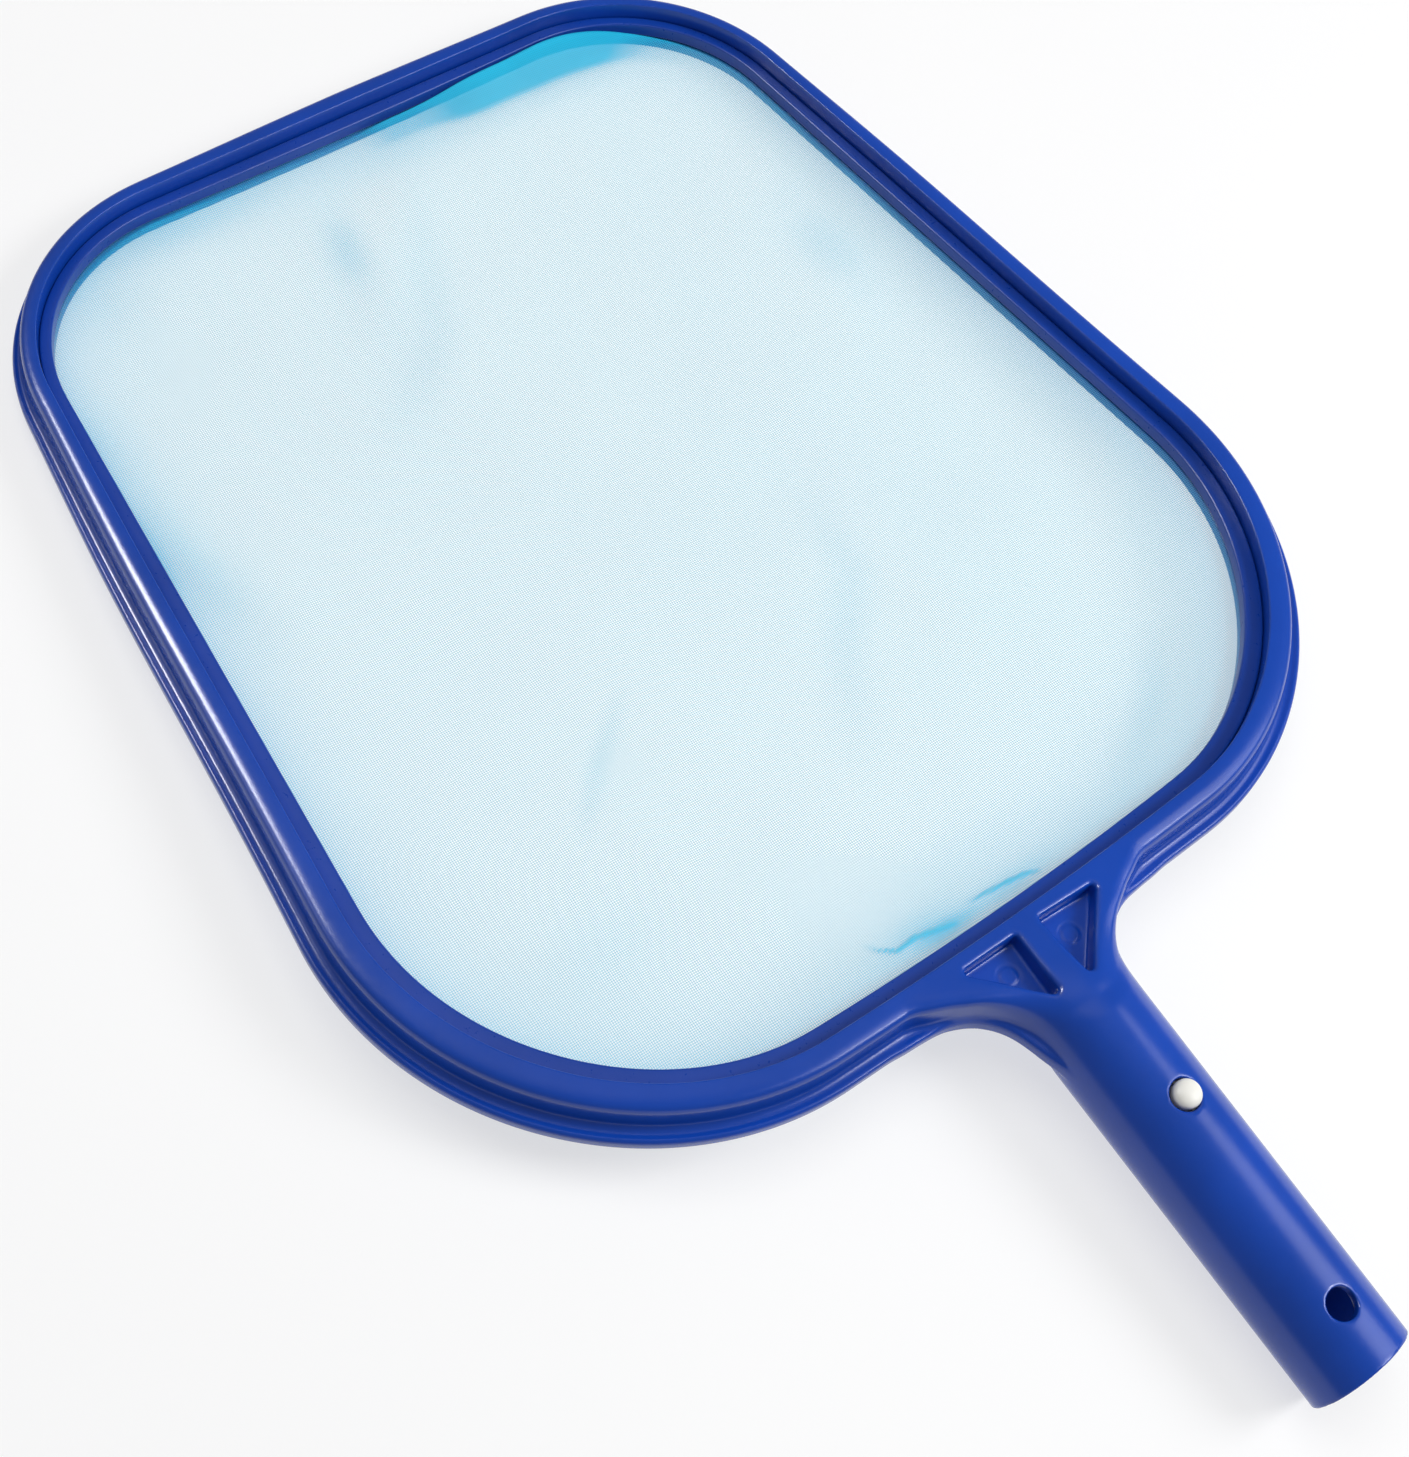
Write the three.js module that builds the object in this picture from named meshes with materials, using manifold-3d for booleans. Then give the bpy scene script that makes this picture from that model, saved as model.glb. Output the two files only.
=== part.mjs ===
// Leaf skimmer net for a pool or spa.
// A moulded head frame with a tubular handle, a ring that clamps the net into
// the frame, the slack net itself, and the snap-button clip inside the handle.
// Millimetres, +Z up, +Y from the handle towards the leading edge of the head.
import * as THREE from 'three';
import { mergeVertices } from 'three/addons/utils/BufferGeometryUtils.js';
import Module from 'manifold-3d';

const wasm = await Module();
wasm.setup();

// ---------------------------------------------------------------- dimensions
// Net opening: the inner edge of the clamping ring, seen from above.
const NEAR_HALF_WIDTH = 144.6;   // half width at the handle side, to the virtual corner
const FAR_HALF_WIDTH = 117.2;    // half width at the leading edge
const OPENING_LENGTH = 306.0;    // handle side to leading edge, at the corners
const NEAR_CORNER_R = 75.0;
const FAR_CORNER_R = 54.0;
const NEAR_BOW = 0.060;          // outward bow of the handle-side edge
const FAR_BOW = -0.021;          // the leading edge is bowed slightly inwards
const NEAR_CORNER_WIDEN = 0.165; // the moulding is wider round the handle-side corners
const FAR_CORNER_NARROW = 0.26;  // and narrower round the leading corners
const CORNER_SPREAD = 16;        // degrees, how far that change reaches

// Frame section, offsets outward from the net opening, heights above the
// top face of the clamping ring.
const RIM_TOP = 5.1;
const FRAME_BASE = -8.2;
const SEAT_TOP = -5.2;           // the net is clamped against this face
const SEAT_INNER = 0.6;
const RIM_INNER = 4.7;
const LIP_OUTER = 15.3;
const LIP_TOP = -4.3;

// Clamping ring
const CLAMP_HEIGHT = 4.2;
const CLAMP_OUTER = 4.4;
const LATCH_LENGTH = 7.0;        // latch nibs on the rim that hold the ring down
const LATCH_REACH = 1.7;

// Net
const NET_THICKNESS = 0.5;
const NET_EDGE_TOP = -4.45;
const NET_MARGIN = 3.9;          // cloth held under the clamping ring
const NET_SAG = 7.0;

// Handle: a tapered tube whose axis falls away from the head
const HANDLE_SLOPE = Math.atan(0.095);
const HANDLE_REF = [0, -60, -8.7];  // a point on the axis
const HANDLE_R_NECK = 14.72;
const HANDLE_R_END = 14.25;
const HANDLE_END = -87.1;        // along the axis from the reference point
const HANDLE_HEAD_END = 36;
const BORE_R = 11.8;
const BORE_END = 17.4;
const BUTTON_AT = -12.0;         // snap-button holes
const SPARE_HOLE_AT = -72.6;     // empty cross hole near the open end
const HOLE_R = 4.0;

// Neck plate
const PLATE_RISE = 0.085;        // the plate climbs from the rim to the handle's top line
const POCKET_DEPTH = 4.2;

// Snap-button clip, in the handle's own frame
const CLIP_WIDTH = 9.0;
const CLIP_THICK = 1.8;
const CLIP_BEND_R = 2.4;
const CLIP_BEND_AT = 12.6;
const CLIP_ARM_HEIGHT = 9.6;     // arm centreline at the button
const CLIP_TIP = -18.0;
const BUTTON_R = 3.6;
const BUTTON_BASE = 10.8;
const BUTTON_SHOULDER = 16.3;
const BUTTON_TOP = 18.05;
const GAP = 0.3;

// ------------------------------------------------------------------- helpers
function solid(geometry) {
  const g = geometry.index ? geometry.clone() : mergeVertices(geometry.clone());
  g.deleteAttribute('normal');
  g.deleteAttribute('uv');
  const m = mergeVertices(g, 1e-4);
  const tri = [];
  const idx = m.index.array;
  for (let i = 0; i < idx.length; i += 3) {
    const [a, b, c] = [idx[i], idx[i + 1], idx[i + 2]];
    if (a !== b && b !== c && a !== c) tri.push(a, b, c);
  }
  const build = (t) => new wasm.Manifold(new wasm.Mesh({
    numProp: 3,
    vertProperties: new Float32Array(m.attributes.position.array),
    triVerts: new Uint32Array(t),
  }));
  let s = build(tri);
  if (s.volume() < 0) {
    const flipped = [];
    for (let i = 0; i < tri.length; i += 3) flipped.push(tri[i], tri[i + 2], tri[i + 1]);
    s = build(flipped);
  }
  return s;
}
function geometryOf(manifold) {
  const m = manifold.getMesh();
  const g = new THREE.BufferGeometry();
  g.setAttribute('position', new THREE.BufferAttribute(new Float32Array(m.vertProperties), 3));
  g.setIndex(new THREE.BufferAttribute(new Uint32Array(m.triVerts), 1));
  g.computeVertexNormals();
  return g;
}
function extrudeZ(points, z0, z1) {
  const g = new THREE.ExtrudeGeometry(new THREE.Shape(points.map((p) => new THREE.Vector2(p[0], p[1]))),
    { depth: z1 - z0, bevelEnabled: false, steps: 1 });
  g.translate(0, 0, z0);
  return g;
}

// ------------------------------------------------- outline of the net opening
const hypot = Math.hypot;
function outlineBase() {
  const wn = NEAR_HALF_WIDTH, wf = FAR_HALF_WIDTH, L = OPENING_LENGTH;
  const side = [wf - wn, L], sl = hypot(side[0], side[1]);
  const e0 = [1, 0], e1 = [side[0] / sl, side[1] / sl], e2 = [-1, 0];
  const arc = (v, din, dout, r, k) => {
    const ang = Math.acos(din[0] * dout[0] + din[1] * dout[1]);
    const tl = r * Math.tan(ang / 2);
    const c = [v[0] - din[0] * tl - din[1] * r, v[1] - din[1] * tl + din[0] * r];
    const n0 = [din[1], -din[0]];
    const pts = [];
    for (let i = 0; i <= k; i++) {
      const t = ang * i / k, cs = Math.cos(t), sn = Math.sin(t);
      pts.push([c[0] + r * (cs * n0[0] - sn * n0[1]), c[1] + r * (sn * n0[0] + cs * n0[1])]);
    }
    return pts;
  };
  const a1 = arc([wn, 0], e0, e1, NEAR_CORNER_R, 10);
  const a2 = arc([wf, L], e1, e2, FAR_CORNER_R, 9);
  const half = [[0, 0]];
  const line = (a, b, k) => { for (let i = 1; i < k; i++) half.push([a[0] + (b[0] - a[0]) * i / k, a[1] + (b[1] - a[1]) * i / k]); };
  line([0, 0], a1[0], 4);
  half.push(...a1);
  line(a1[a1.length - 1], a2[0], 6);
  half.push(...a2);
  line(a2[a2.length - 1], [0, L], 4);
  half.push([0, L]);
  const bow = half.map(([x, y]) => {
    const v = (y - L / 2) / (L / 2), u = x / Math.max(wn, wf);
    const ke = v < 0 ? NEAR_BOW : FAR_BOW;
    return [x, L / 2 + (y - L / 2) * (1 + ke * (1 - u * u) * Math.abs(v))];
  });
  return bow.concat(bow.slice(1, -1).reverse().map(([x, y]) => [-x, y]));
}
const BASE = outlineBase();
const RING_N = BASE.length;
const CENTRE = [0, OPENING_LENGTH / 2];
const NORMALS = BASE.map((p, i) => {
  const a = BASE[(i + RING_N - 1) % RING_N], b = BASE[(i + 1) % RING_N];
  const t = [b[0] - a[0], b[1] - a[1]], l = hypot(t[0], t[1]);
  return [t[1] / l, -t[0] / l];
});
const NEAR_CORNER_ANGLE = -Math.atan2(OPENING_LENGTH / 2, NEAR_HALF_WIDTH) * 180 / Math.PI;
const FAR_CORNER_ANGLE = Math.atan2(OPENING_LENGTH / 2, FAR_HALF_WIDTH) * 180 / Math.PI;
function outlinePoint(i, u) {
  const p = BASE[i % RING_N], n = NORMALS[i % RING_N];
  const th = Math.atan2(p[1] - CENTRE[1], Math.abs(p[0])) * 180 / Math.PI;
  const bell = (c) => Math.exp(-0.5 * ((th - c) / CORNER_SPREAD) ** 2);
  const o = u * (1 + NEAR_CORNER_WIDEN * bell(NEAR_CORNER_ANGLE) - FAR_CORNER_NARROW * bell(FAR_CORNER_ANGLE));
  return [p[0] + o * n[0], p[1] + o * n[1]];
}
// A closed section swept round the outline: a lathe ring whose vertices are
// moved from its circle to the outline.
function sweep(section) {
  const pts = section.concat([section[0]]).map(([u, z]) => new THREE.Vector2(100 + u, z));
  const g = new THREE.LatheGeometry(pts, RING_N);
  const pos = g.attributes.position;
  for (let i = 0; i <= RING_N; i++) {
    for (let j = 0; j < pts.length; j++) {
      const [u, z] = j === section.length ? section[0] : section[j];
      const [x, y] = outlinePoint(i, u);
      pos.setXYZ(i * pts.length + j, x, y, z);
    }
  }
  return g;
}

// ------------------------------------------------------------ handle's frame
const AXIS_Y = new THREE.Vector3(0, Math.cos(HANDLE_SLOPE), Math.sin(HANDLE_SLOPE));
const AXIS_Z = new THREE.Vector3(0, -Math.sin(HANDLE_SLOPE), Math.cos(HANDLE_SLOPE));
const HANDLE_MATRIX = new THREE.Matrix4().makeBasis(new THREE.Vector3(1, 0, 0), AXIS_Y, AXIS_Z)
  .setPosition(...HANDLE_REF);
const inHandle = (g) => g.clone().applyMatrix4(HANDLE_MATRIX);
const radiusAt = (v) => HANDLE_R_NECK + (HANDLE_R_END - HANDLE_R_NECK) * (v / HANDLE_END);
// a body of revolution about the handle axis, from a profile of [radius, along]
function turned(profile, n) {
  return new THREE.LatheGeometry(profile.map(([r, v]) => new THREE.Vector2(r, v)), n);
}

// ---------------------------------------------------------------- head frame
const frameSection = [
  [SEAT_INNER, FRAME_BASE], [SEAT_INNER, SEAT_TOP], [RIM_INNER + 0.2, SEAT_TOP],
  [RIM_INNER, RIM_TOP - 0.5], [RIM_INNER + 0.4, RIM_TOP], [8.4, RIM_TOP],
  [10.3, 4.2], [10.9, 3.1], [11.4, -3.5], [12.2, LIP_TOP], [LIP_OUTER - 0.8, LIP_TOP],
  [LIP_OUTER, LIP_TOP - 0.8], [LIP_OUTER, FRAME_BASE + 0.5], [LIP_OUTER - 0.5, FRAME_BASE],
  [9.4, FRAME_BASE], [9.1, 2.5], [7.1, 2.5], [6.9, FRAME_BASE],
];
let frame = solid(sweep(frameSection));

// neck plate and, below it, the lip that runs round the neck
const plateHalf = [[46, -8], [41, -15.6], [38.7, -17.6], [34.2, -19.9], [28.4, -22.8], [22.2, -26.6], [18.0, -31.4],
  [15.6, -36.6], [14.0, -42], [13.0, -48]];
const lipHalf = [[62, -8], [52, -22.2], [39, -24.0], [32.4, -25.2], [27.8, -26.9], [24.9, -28.5], [22.4, -30.6], [19.8, -33.8],
  [17.9, -37.6], [16.5, -42], [15.8, -47], [15.2, -52]];
const mirrored = (half) => half.concat(half.slice().reverse().map(([x, y]) => [-x, y]));
const plate = solid(extrudeZ(mirrored(plateHalf).concat([]), FRAME_BASE, 14));
const lip = solid(extrudeZ(mirrored(lipHalf), FRAME_BASE, LIP_TOP));
const tubeOuter = solid(inHandle(turned([[0, HANDLE_END], [HANDLE_R_END - 0.6, HANDLE_END], [HANDLE_R_END, HANDLE_END + 0.6],
  [HANDLE_R_NECK, 0], [HANDLE_R_NECK + 0.1, HANDLE_HEAD_END], [0, HANDLE_HEAD_END]], 48)));
// the neck is planed off along the plate's top and, underneath, along a ramp
// from the handle's underside to the base of the frame
const wedge = (yz) => {
  const g = new THREE.ExtrudeGeometry(new THREE.Shape(yz.map((p) => new THREE.Vector2(p[0], p[1]))),
    { depth: 260, bevelEnabled: false });
  // shape x -> world y, shape y -> world z, depth -> world x
  g.applyMatrix4(new THREE.Matrix4().makeBasis(new THREE.Vector3(0, 1, 0), new THREE.Vector3(0, 0, 1), new THREE.Vector3(1, 0, 0)));
  g.translate(-130, 0, 0);
  return solid(g);
};
const plateTop = (y) => RIM_TOP + PLATE_RISE * (-13.4 - y);
const above = wedge([[-62, plateTop(-44.5) - 0.095 * 17.5], [-44.5, plateTop(-44.5)], [-13.4, RIM_TOP], [60, RIM_TOP], [60, 60], [-62, 60]]);
const below = wedge([[-45, -60], [60, -60], [60, FRAME_BASE], [-16, FRAME_BASE], [-45, -22.6]]);
let neck = plate.add(lip).add(tubeOuter);
neck = neck.subtract(above).subtract(below);
// nothing of the neck reaches inside the rim's inner wall
const innerPts = [];
for (let i = 0; i < RING_N; i++) innerPts.push(outlinePoint(i, RIM_INNER + 1.2));
neck = neck.subtract(solid(extrudeZ(innerPts, -60, 60)));
frame = frame.add(neck);

// bore, cross holes and the drafted pockets in the neck plate
frame = frame.subtract(solid(inHandle(turned([[0, HANDLE_END - 5], [BORE_R, HANDLE_END - 5], [BORE_R, BORE_END - 3],
  [BORE_R - 3, BORE_END], [0, BORE_END]], 48))));
for (const v of [BUTTON_AT, SPARE_HOLE_AT]) {
  const hole = new THREE.CylinderGeometry(HOLE_R, HOLE_R, 60, 28);
  hole.rotateX(Math.PI / 2);
  hole.translate(0, v, 0);
  frame = frame.subtract(solid(inHandle(hole)));
}
for (const s of [1, -1]) {
  const tri = [[4.2 * s, -18.2], [22.6 * s, -18.8], [5.0 * s, -37.2]];
  const shape = new THREE.Shape(tri.map((p) => new THREE.Vector2(p[0], p[1])));
  const pocket = new THREE.ExtrudeGeometry(shape, { depth: 20, bevelEnabled: true, bevelThickness: 0.8, bevelSize: 0.8, bevelOffset: -0.8, bevelSegments: 2 });
  pocket.translate(0, 0, RIM_TOP - POCKET_DEPTH + 1.6);
  frame = frame.subtract(solid(pocket));
}

// latch nibs on the rim's inner wall, just above the clamping ring
const LATCH_STATIONS = [];
{
  const cum = [0];
  for (let i = 0; i < RING_N; i++) {
    const a = BASE[i], b = BASE[(i + 1) % RING_N];
    cum.push(cum[i] + hypot(b[0] - a[0], b[1] - a[1]));
  }
  const total = cum[RING_N];
  for (const f of [0, 0.135, 0.27, 0.395, 0.5, 0.605, 0.73, 0.865]) {
    const s = f * total;
    let i = 0;
    while (cum[i + 1] < s - 1e-9) i++;
    const t = (s - cum[i]) / (cum[i + 1] - cum[i]);
    const wall = RIM_INNER + 0.1;
    const a = outlinePoint(i, wall), b = outlinePoint(i + 1, wall);
    const d = [b[0] - a[0], b[1] - a[1]], l = hypot(d[0], d[1]);
    LATCH_STATIONS.push({ x: a[0] + d[0] * t, y: a[1] + d[1] * t, angle: Math.atan2(d[1], d[0]) });
  }
}
for (const st of LATCH_STATIONS) {
  const nib = new THREE.BoxGeometry(LATCH_LENGTH, LATCH_REACH + 1.2, 1.2);
  // outward of the local direction of travel is -Y in the nib's own frame
  nib.translate(0, LATCH_REACH / 2 - 0.6, GAP + 0.6);
  nib.rotateZ(st.angle);
  nib.translate(st.x, st.y, 0);
  frame = frame.add(solid(nib));
}

// ------------------------------------------------------------- clamping ring
const clamp = solid(sweep([[0.3, -CLAMP_HEIGHT], [0, -CLAMP_HEIGHT + 0.4], [0, -0.6], [0.6, 0], [CLAMP_OUTER - 0.1, 0],
  [CLAMP_OUTER, -CLAMP_HEIGHT]]));

// ----------------------------------------------------------------------- net
// A slack sheet: flat where it is clamped, dished over the opening.
function netGeometry() {
  const rows = [];
  const f = [0, 0.22, 0.42, 0.6, 0.76, 0.89, 0.97];
  const sag = (r) => -NET_SAG * (1 - Math.pow(r, 2.4));
  for (const r of f) rows.push({ r, u: 0, z: NET_EDGE_TOP + sag(r) });
  rows.push({ r: 1, u: 0.2, z: NET_EDGE_TOP });
  rows.push({ r: 1, u: NET_MARGIN, z: NET_EDGE_TOP });
  rows.push({ r: 1, u: NET_MARGIN, z: NET_EDGE_TOP - NET_THICKNESS });
  rows.push({ r: 1, u: 0.2, z: NET_EDGE_TOP - NET_THICKNESS });
  for (const r of f.slice().reverse()) rows.push({ r, u: 0, z: NET_EDGE_TOP + sag(r) - NET_THICKNESS });
  const g = new THREE.LatheGeometry(rows.map((q) => new THREE.Vector2(q.r * 100, q.z)), RING_N);
  const pos = g.attributes.position;
  for (let i = 0; i <= RING_N; i++) {
    rows.forEach((q, j) => {
      const [x, y] = outlinePoint(i, q.u);
      pos.setXYZ(i * rows.length + j, CENTRE[0] + q.r * (x - CENTRE[0]), CENTRE[1] + q.r * (y - CENTRE[1]), q.z);
    });
  }
  return g;
}
const net = solid(netGeometry());

// ----------------------------------------------------------- snap-button clip
// Side view of each piece is drawn in the plane (along the axis, up), then
// extruded across the clip's width.
function strip(points) {
  const g = new THREE.ExtrudeGeometry(new THREE.Shape(points.map((p) => new THREE.Vector2(p[0], p[1]))),
    { depth: CLIP_WIDTH, bevelEnabled: false });
  g.applyMatrix4(new THREE.Matrix4().makeBasis(new THREE.Vector3(0, 1, 0), new THREE.Vector3(0, 0, 1), new THREE.Vector3(1, 0, 0)));
  g.translate(-CLIP_WIDTH / 2, 0, 0);
  return g;
}
function bendOutline() {
  const out = [], inn = [], ro = CLIP_BEND_R + CLIP_THICK / 2, ri = CLIP_BEND_R - CLIP_THICK / 2;
  for (let i = 0; i <= 12; i++) {
    const a = -Math.PI / 2 + Math.PI * i / 12;
    out.push([CLIP_BEND_AT + ro * Math.cos(a), ro * Math.sin(a)]);
    inn.push([CLIP_BEND_AT + ri * Math.cos(a), ri * Math.sin(a)]);
  }
  return out.concat(inn.reverse());
}
// centreline of the upper arm, from the bend to its tip
const armLine = [];
{
  const p0 = [CLIP_BEND_AT - GAP, CLIP_BEND_R], p1 = [BUTTON_AT + 5.2, CLIP_ARM_HEIGHT - 0.55], p2 = [BUTTON_AT + 3.6, CLIP_ARM_HEIGHT], p3 = [CLIP_TIP, CLIP_ARM_HEIGHT];
  const curve = new THREE.CubicBezierCurve(new THREE.Vector2(...p0), new THREE.Vector2(CLIP_BEND_AT - 5, CLIP_BEND_R + 0.3),
    new THREE.Vector2(BUTTON_AT + 12, CLIP_ARM_HEIGHT - 2.6), new THREE.Vector2(...p1));
  for (const q of curve.getPoints(9)) armLine.push([q.x, q.y]);
  armLine.push(p2, p3);
}
function armOutline() {
  const up = [], dn = [];
  armLine.forEach((p, i) => {
    const a = armLine[Math.max(0, i - 1)], b = armLine[Math.min(armLine.length - 1, i + 1)];
    let t = [b[0] - a[0], b[1] - a[1]];
    if (i === 0) t = [-1, 0];
    const l = hypot(t[0], t[1]), n = [t[1] / l, -t[0] / l];
    up.push([p[0] + n[0] * CLIP_THICK / 2, p[1] + n[1] * CLIP_THICK / 2]);
    dn.push([p[0] - n[0] * CLIP_THICK / 2, p[1] - n[1] * CLIP_THICK / 2]);
  });
  return up.concat(dn.reverse());
}
const flipZ = (g) => { const h = g.clone(); h.scale(1, 1, -1); return h; };
const bend = solid(inHandle(strip(bendOutline())));
const armUpper = solid(inHandle(strip(armOutline())));
const armLower = solid(inHandle(flipZ(strip(armOutline()))));
function buttonGeometry() {
  const prof = [[0, BUTTON_BASE], [BUTTON_R, BUTTON_BASE], [BUTTON_R, BUTTON_SHOULDER]];
  for (let i = 1; i <= 5; i++) {
    const a = Math.PI / 2 * i / 5;
    prof.push([i === 5 ? 0 : BUTTON_R * Math.cos(a), BUTTON_SHOULDER + (BUTTON_TOP - BUTTON_SHOULDER) * Math.sin(a)]);
  }
  const g = turned(prof, 28);
  g.rotateX(Math.PI / 2);
  g.translate(0, BUTTON_AT, 0);
  return g;
}
const buttonUpper = solid(inHandle(buttonGeometry()));
const buttonLower = solid(inHandle(flipZ(buttonGeometry())));

// ------------------------------------------------------------------ assembly
const pieces = [
  ['head_frame', frame, 0x1f3f9c, 0.38],
  ['net_clamp_ring', clamp, 0x1b3788, 0.42],
  ['net_panel', net, 0xcfeaf4, 0.75],
  ['snap_clip_bend', bend, 0xe9e7df, 0.45],
  ['snap_clip_arm_upper', armUpper, 0xe9e7df, 0.45],
  ['snap_clip_arm_lower', armLower, 0xe9e7df, 0.45],
  ['snap_button_upper', buttonUpper, 0xf0eee6, 0.35],
  ['snap_button_lower', buttonLower, 0xf0eee6, 0.35],
];
// the origin is under the middle of the part, at the height of its lowest point
let lo = [Infinity, Infinity, Infinity], hi = [-Infinity, -Infinity, -Infinity];
for (const [, m] of pieces) {
  const b = m.boundingBox();
  for (let k = 0; k < 3; k++) { lo[k] = Math.min(lo[k], b.min[k]); hi[k] = Math.max(hi[k], b.max[k]); }
}
const skimmer = new THREE.Group();
skimmer.position.set(-(lo[0] + hi[0]) / 2, -(lo[1] + hi[1]) / 2, -lo[2]);
for (const [name, m, color, roughness] of pieces) {
  const mesh = new THREE.Mesh(geometryOf(m), new THREE.MeshStandardMaterial({ color, roughness, metalness: 0 }));
  mesh.name = name;
  skimmer.add(mesh);
}
export default skimmer;
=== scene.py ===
# Leaf skimmer net: the finished surfaces, materials, floor, light and camera.
# Lengths in the shape functions are millimetres in the design frame: X across
# the head, Y from the handle side of the net opening to the leading edge, Z up
# from the top face of the clamping ring. OFFSET takes them to the row frame.
import math

import bmesh
import bpy
import numpy as np
from mathutils import Matrix, Vector


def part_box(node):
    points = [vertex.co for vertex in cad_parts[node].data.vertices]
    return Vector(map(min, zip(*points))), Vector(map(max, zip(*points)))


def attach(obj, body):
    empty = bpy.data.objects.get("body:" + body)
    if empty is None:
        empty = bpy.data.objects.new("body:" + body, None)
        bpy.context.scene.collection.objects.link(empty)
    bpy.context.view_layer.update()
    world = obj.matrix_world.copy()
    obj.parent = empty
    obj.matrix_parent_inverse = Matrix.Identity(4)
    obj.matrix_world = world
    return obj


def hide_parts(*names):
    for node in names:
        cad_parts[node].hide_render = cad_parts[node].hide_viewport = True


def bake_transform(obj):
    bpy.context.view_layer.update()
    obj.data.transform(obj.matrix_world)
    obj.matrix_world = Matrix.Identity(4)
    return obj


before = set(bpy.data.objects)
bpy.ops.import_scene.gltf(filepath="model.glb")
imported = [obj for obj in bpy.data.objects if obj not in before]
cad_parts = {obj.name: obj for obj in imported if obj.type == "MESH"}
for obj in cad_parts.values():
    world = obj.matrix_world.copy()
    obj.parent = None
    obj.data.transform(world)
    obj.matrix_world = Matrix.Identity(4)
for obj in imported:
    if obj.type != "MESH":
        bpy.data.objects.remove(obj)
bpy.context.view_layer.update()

np.seterr(all="ignore")

# --------------------------------------------------------------- dimensions
WN, WF, LEN = 144.6, 117.2, 306.0
R_NEAR, R_FAR = 75.0, 54.0
BOW_NEAR, BOW_FAR = 0.060, -0.021
WIDEN, NARROW, SPREAD = 0.165, 0.26, 16.0
RIM_TOP, BASE_Z, SEAT_Z = 5.1, -8.2, -5.2
CLAMP_H, CLAMP_W = 4.2, 4.4
SLOPE = math.atan(0.095)
REF = np.array([0.0, -60.0, -8.7])
R_NECK, R_END, V_END = 14.72, 14.25, -87.1
BORE_R, BORE_END = 11.8, 17.4
V_BUTTON, V_SPARE, HOLE_R = -12.0, -72.6, 4.0
AY = np.array([0.0, math.cos(SLOPE), math.sin(SLOPE)])
AZ = np.array([0.0, -math.sin(SLOPE), math.cos(SLOPE)])
CY = LEN / 2


# ------------------------------------------------------------------ outline
def outline_base():
    side = np.array([WF - WN, LEN]) / math.hypot(WF - WN, LEN)
    e0, e1, e2 = np.array([1.0, 0]), side, np.array([-1.0, 0])

    def arc(v, din, dout, r, k):
        ang = math.acos(float(din @ dout))
        tl = r * math.tan(ang / 2)
        c = np.array([v[0] - din[0] * tl - din[1] * r, v[1] - din[1] * tl + din[0] * r])
        n0 = np.array([din[1], -din[0]])
        t = np.linspace(0, ang, k + 1)
        return np.stack([c[0] + r * (np.cos(t) * n0[0] - np.sin(t) * n0[1]),
                         c[1] + r * (np.sin(t) * n0[0] + np.cos(t) * n0[1])], 1)

    a1 = arc((WN, 0), e0, e1, R_NEAR, 240)
    a2 = arc((WF, LEN), e1, e2, R_FAR, 200)

    def line(a, b, k):
        return a + (b - a) * (np.arange(1, k) / k)[:, None]

    half = np.concatenate([[[0, 0]], line(np.array([0.0, 0]), a1[0], 140), a1, line(a1[-1], a2[0], 400), a2,
                           line(a2[-1], np.array([0, LEN]), 140), [[0, LEN]]])
    v = (half[:, 1] - CY) / CY
    u = half[:, 0] / max(WN, WF)
    ke = np.where(v < 0, BOW_NEAR, BOW_FAR)
    half[:, 1] = CY + (half[:, 1] - CY) * (1 + ke * (1 - u * u) * np.abs(v))
    full = np.concatenate([half, (half[1:-1] * [-1, 1])[::-1]])
    return full


def resample_closed(p, n, start=0.0):
    q = np.concatenate([p, p[:1]])
    s = np.concatenate([[0], np.cumsum(np.linalg.norm(np.diff(q, axis=0), axis=1))])
    at = (np.arange(n) / n * s[-1] + start) % s[-1]
    return np.stack([np.interp(at, s, q[:, k]) for k in range(q.shape[1])], 1), s[-1]


# even spacing, starting at the middle of the handle side and going towards +X
OUT_N = 3600
OUT, PERIM = resample_closed(outline_base(), OUT_N)
# ease the curvature where the corner arcs meet the straights
for _ in range(60):
    OUT = OUT * 0.5 + 0.25 * (np.roll(OUT, 1, 0) + np.roll(OUT, -1, 0))
DS = PERIM / OUT_N
_t = np.roll(OUT, -1, 0) - np.roll(OUT, 1, 0)
TAN = _t / np.linalg.norm(_t, axis=1)[:, None]
NOR = np.stack([TAN[:, 1], -TAN[:, 0]], 1)
_th = np.degrees(np.arctan2(OUT[:, 1] - CY, np.abs(OUT[:, 0])))


def bell(c):
    return np.exp(-0.5 * ((_th - c) / SPREAD) ** 2)


WIDTH = 1 + WIDEN * bell(-math.degrees(math.atan2(CY, WN))) - NARROW * bell(math.degrees(math.atan2(CY, WF)))
_wrap = np.arange(-20, OUT_N + 21)


def along(table, s):
    """A value of the outline at arc length s, which may run past either end."""
    i = (s / DS) % OUT_N
    i0 = np.floor(i).astype(int)
    f = i - i0
    a, b = table[i0 % OUT_N], table[(i0 + 1) % OUT_N]
    return a * (1 - f) + b * f if table.ndim == 1 else a * (1 - f)[:, None] + b * f[:, None]


def offset_point(s, u):
    """Points at arc length s, u outwards of the net opening, in design XY."""
    s, u = np.broadcast_arrays(np.asarray(s, float), np.asarray(u, float))
    sh = s.shape
    s, u = s.ravel(), u.ravel()
    n = along(NOR, s)
    n /= np.linalg.norm(n, axis=1)[:, None]
    k = along(WIDTH, s)
    return (along(OUT, s) + n * (u * k)[:, None]).reshape(sh + (2,))


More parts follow.
